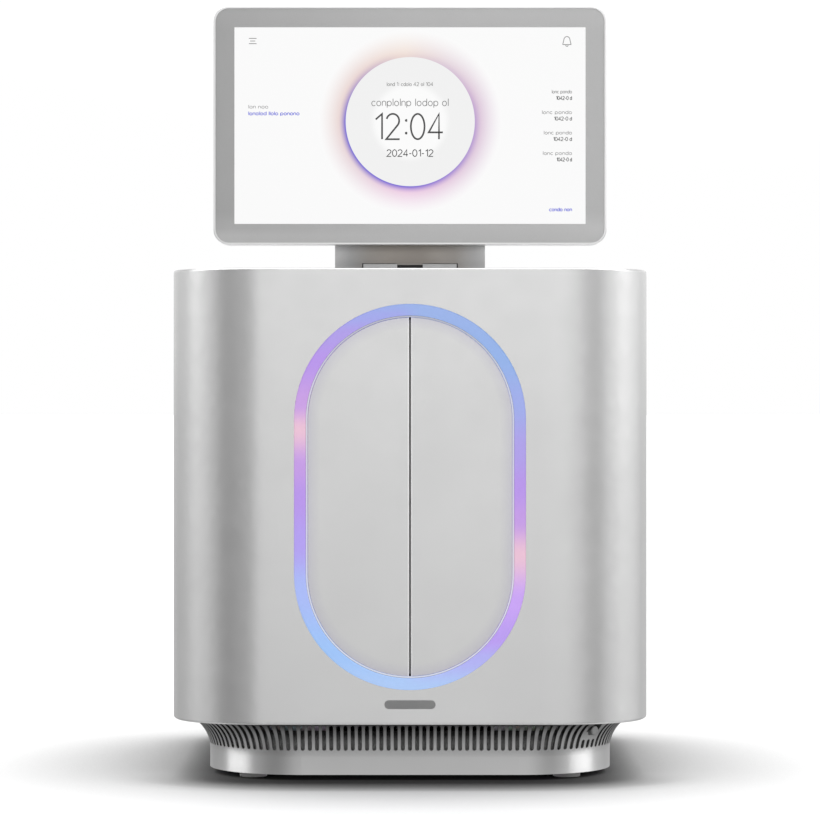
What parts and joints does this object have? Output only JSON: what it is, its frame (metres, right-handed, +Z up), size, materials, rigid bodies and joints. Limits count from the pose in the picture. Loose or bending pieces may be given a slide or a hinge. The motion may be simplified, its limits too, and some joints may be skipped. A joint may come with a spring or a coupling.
{
  "type": "benchtop sequencer",
  "caption": "Soft-cornered benchtop analyser with a slotted plinth, an oval doorway with light ring and two leaf doors, and a tilting touchscreen on top.",
  "frame": {"origin": "on the bench, under the middle of the case", "axes": "+Z up, front of the instrument towards -Y, +X to the right seen from the front"},
  "size_m": [0.4, 0.45, 0.6463],
  "materials": {
    "case_satin": "satin silver, fine soft sheen",
    "cover_satin": "satin silver lid",
    "door_satin": "satin silver door skin",
    "plinth_satin": "satin silver, slightly darker",
    "rear_metal": "fine powder coat",
    "sheet_steel": "galvanised sheet",
    "filter_grey": "open foam filter",
    "foot_grey": "soft grey elastomer",
    "badge_grey": "smooth plain badge",
    "ring_glow": "translucent lit diffuser",
    "circuit_board": "green solder mask",
    "dark_plastic": "fine moulded texture",
    "grey_plastic": "fine moulded texture",
    "white_plastic": "fine moulded texture",
    "blue_plastic": "moulded cartridge shell",
    "hinge_zinc": "black zinc casting",
    "pin_steel": "ground steel",
    "magnet_nickel": "nickel plating",
    "tray_grey": "dark powder coat",
    "aluminium": "machined and clear anodised",
    "black_anodised": "black anodised",
    "flow_cell_glass": "polished glass slide",
    "screen_glass": "back-printed grey cover glass",
    "lcd_dark": "liquid crystal panel",
    "display_rim": "bead blasted rim",
    "display_shell": "satin moulded housing",
    "neck_satin": "satin grey-brown",
    "button_satin": "satin metal cap"
  },
  "bodies": {
    "case": {"body_shell": "case_satin", "top_cover": "cover_satin", "rear_panel": "rear_metal", "base_plinth": "plinth_satin", "base_tray": "sheet_steel", "intake_filter": "filter_grey", "feet": "foot_grey", "button_housing": "dark_plastic", "light_ring": "ring_glow", "light_ring_board": "circuit_board", "aperture_frame": "dark_plastic", "hinge_brackets": "sheet_steel", "hinge_pins": "pin_steel", "bay_liner": "grey_plastic", "bay_shelves": "sheet_steel", "sipper_rods": "pin_steel", "stage_rails": "pin_steel", "optics_tower": "black_anodised", "camera": "black_anodised", "chassis_deck": "sheet_steel", "bulkhead": "sheet_steel", "equipment_shelf": "sheet_steel", "power_supply": "aluminium", "main_board": "circuit_board", "syringe_pump": "white_plastic", "power_inlet": "dark_plastic", "switch_frame": "dark_plastic", "data_ports": "pin_steel", "fan_frames": "dark_plastic", "fan_guards": "pin_steel", "rear_screws": "pin_steel", "display_mount": "grey_plastic", "tilt_pin": "pin_steel", "front_badge": "badge_grey"},
    "left_door_leaf": {"left_door": "door_satin", "left_door_liner": "tray_grey", "left_door_magnets": "magnet_nickel", "left_hinge_arms": "hinge_zinc"},
    "right_door_leaf": {"right_door": "door_satin", "right_door_liner": "tray_grey", "right_door_magnets": "magnet_nickel", "right_hinge_arms": "hinge_zinc"},
    "display": {"display_frame": "display_rim", "display_glass": "screen_glass", "display_panel": "lcd_dark", "display_back": "display_shell", "neck_arm": "neck_satin"},
    "power_button_cap": {"power_button": "button_satin"},
    "mains_rocker": {"power_rocker": "dark_plastic"},
    "rotor_left": {"fan_rotor_left": "dark_plastic"},
    "rotor_right": {"fan_rotor_right": "dark_plastic"},
    "drawer": {"cartridge_drawer": "dark_plastic", "reagent_cartridge": "blue_plastic"},
    "sipper": {"sipper_manifold": "aluminium"},
    "stage": {"stage_carriage": "black_anodised", "thermal_block": "aluminium", "flow_cell": "flow_cell_glass"},
    "screw": {"stage_screw": "pin_steel"},
    "focus": {"objective": "black_anodised"},
    "plunger": {"syringe_plunger": "pin_steel"}
  },
  "joints": [
    {"name": "left_door_swing", "type": "hinge", "parent": "case", "child": "left_door_leaf", "pos_m": [-0.1096, -0.216, 0.2372], "axis": [0, 0, 1], "range_deg": [-95, 0]},
    {"name": "right_door_swing", "type": "hinge", "parent": "case", "child": "right_door_leaf", "pos_m": [0.1096, -0.216, 0.2372], "axis": [0, 0, 1], "range_deg": [0, 95]},
    {"name": "display_tilt", "type": "hinge", "parent": "case", "child": "display", "pos_m": [0, -0.14, 0.424], "axis": [1, 0, 0], "range_deg": [-30, 5]},
    {"name": "power_button_press", "type": "slide", "parent": "case", "child": "power_button_cap", "axis": [-0.7133, 0.7009, 0], "range_m": [0, 0.0014], "stiffness_N_per_m": 600, "springref_m": -0.0005},
    {"name": "mains_rocker_tip", "type": "hinge", "parent": "case", "child": "mains_rocker", "pos_m": [-0.042, 0.218, 0.105], "axis": [1, 0, 0], "range_deg": [0, 12]},
    {"name": "left_fan_spin", "type": "hinge", "parent": "case", "child": "rotor_left", "pos_m": [-0.053, 0.2, 0.32], "axis": [0, 1, 0], "continuous": true},
    {"name": "right_fan_spin", "type": "hinge", "parent": "case", "child": "rotor_right", "pos_m": [0.053, 0.2, 0.32], "axis": [0, 1, 0], "continuous": true},
    {"name": "drawer_slide", "type": "slide", "parent": "case", "child": "drawer", "axis": [0, -1, 0], "range_m": [0, 0.018]},
    {"name": "sipper_lift", "type": "slide", "parent": "case", "child": "sipper", "axis": [0, 0, 1], "range_m": [-0.02, 0.006]},
    {"name": "stage_slide", "type": "slide", "parent": "case", "child": "stage", "axis": [0, 1, 0], "range_m": [0, 0.15]},
    {"name": "screw_turn", "type": "hinge", "parent": "case", "child": "screw", "pos_m": [0, -0.1, 0.243], "axis": [0, 1, 0], "range_deg": [0, 5420]},
    {"name": "focus_travel", "type": "slide", "parent": "case", "child": "focus", "axis": [0, 0, 1], "range_m": [-0.002, 0.002]},
    {"name": "plunger_stroke", "type": "slide", "parent": "case", "child": "plunger", "axis": [0, 0, 1], "range_m": [-0.01, 0.03]}
  ],
  "couplings": [
    {"joint": "screw_turn", "follows": "stage_slide", "rad_per_m": 628.32}
  ]
}
